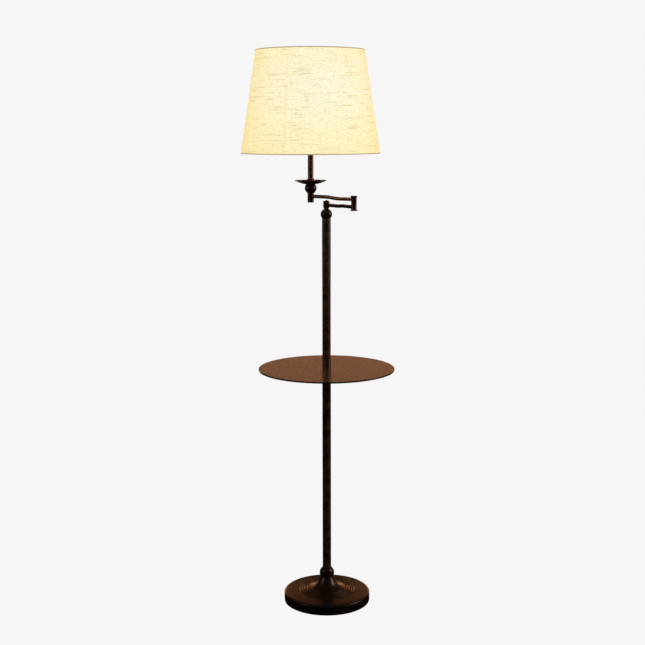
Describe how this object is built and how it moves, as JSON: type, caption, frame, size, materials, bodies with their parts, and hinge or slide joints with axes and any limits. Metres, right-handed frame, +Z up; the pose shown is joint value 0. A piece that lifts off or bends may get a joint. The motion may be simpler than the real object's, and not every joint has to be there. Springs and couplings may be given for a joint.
{
  "type": "floor lamp with table",
  "caption": "Floor lamp with a round weighted base, a straight pole through a round tray table, a jointed swing arm and a tapered drum shade.",
  "frame": {"origin": "middle of the base's underside, on the pole's axis", "axes": "+Z up along the pole, -Y towards the front, +X to the right seen from the front"},
  "size_m": [0.4336, 0.4329, 1.5999],
  "materials": {
    "bronze_pole": "oil-rubbed dark bronze, satin",
    "bronze_trim": "oil-rubbed dark bronze, satin, darker in the hollows",
    "bronze_base": "oil-rubbed bronze, satin, warmer on the raised rings",
    "bronze_candle": "oil-rubbed bronze, satin",
    "bronze_table": "warm brown bronze powder coat, satin",
    "iron": "raw casting",
    "felt": "pressed felt",
    "zinc_steel": "zinc plated",
    "brass": "plain brass",
    "harp_wire": "bronze lacquered wire",
    "black_plastic": "moulded, matte",
    "nylon": "black nylon",
    "lead_sheath": "soft brown sheath",
    "card": "pressed card",
    "nickel": "plain aluminium",
    "frosted_glass": "frosted",
    "white_wire": "white enamelled wire",
    "linen": "slubbed linen on a clear backing, lit from inside"
  },
  "bodies": {
    "stand": {"base_pad": "felt", "base_weight": "iron", "base_cover": "bronze_base", "base_washer": "zinc_steel", "base_nut": "zinc_steel", "base_nipple": "brass", "cord_grommet": "black_plastic", "foot_ball": "bronze_trim", "lower_pole": "bronze_pole", "upper_pole": "bronze_pole", "pole_inserts": "brass", "table_flange": "bronze_table", "table_top": "bronze_table", "table_nipple": "brass", "top_ball": "bronze_trim", "swivel_stud": "bronze_trim", "swivel_washer": "nylon", "swivel_nut": "bronze_trim", "pole_lead": "lead_sheath"},
    "lower_arm": {"swivel_barrel": "bronze_pole", "lower_arm_tube": "bronze_pole", "lower_arm_lead": "lead_sheath", "elbow_lower_barrel": "bronze_pole", "elbow_pin": "bronze_trim", "elbow_washer": "nylon", "elbow_cap": "bronze_trim"},
    "upper_arm": {"elbow_upper_barrel": "bronze_pole", "upper_arm_tube": "bronze_pole", "upper_arm_lead": "lead_sheath", "head_barrel": "bronze_pole", "head_nut": "bronze_trim", "head_nipple": "brass", "head_ball": "bronze_trim", "drip_dish": "bronze_trim", "candle_foot": "bronze_pole", "candle_tube": "bronze_candle", "candle_cap": "bronze_trim", "head_lead": "lead_sheath", "harp_saddle": "harp_wire", "harp_ferrules": "harp_wire", "harp": "harp_wire", "harp_stud": "harp_wire", "holder_cap": "brass", "holder_shell": "brass", "holder_liner": "card", "screw_shell": "nickel", "switch_body": "black_plastic", "bulb_base": "nickel", "bulb_glass": "frosted_glass", "spider_hub": "harp_wire", "spider_spokes": "harp_wire", "shade_top_ring": "white_wire", "shade_bottom_ring": "white_wire", "shade_shell": "linen", "finial": "bronze_trim"},
    "knob": {"switch_knob": "black_plastic"}
  },
  "joints": [
    {"name": "lower_arm_swing", "type": "hinge", "parent": "stand", "child": "lower_arm", "pos_m": [0, 0, 1.1638], "axis": [0, 0, 1], "range_deg": [-170, 170]},
    {"name": "elbow_swing", "type": "hinge", "parent": "lower_arm", "child": "upper_arm", "pos_m": [0.07498, -0.12, 1.1856], "axis": [0, 0, 1], "range_deg": [-15, 325]},
    {"name": "switch_turn", "type": "hinge", "parent": "upper_arm", "child": "knob", "pos_m": [-0.04369, -0.04293, 1.38865], "axis": [0, -1, 0], "continuous": true}
  ]
}
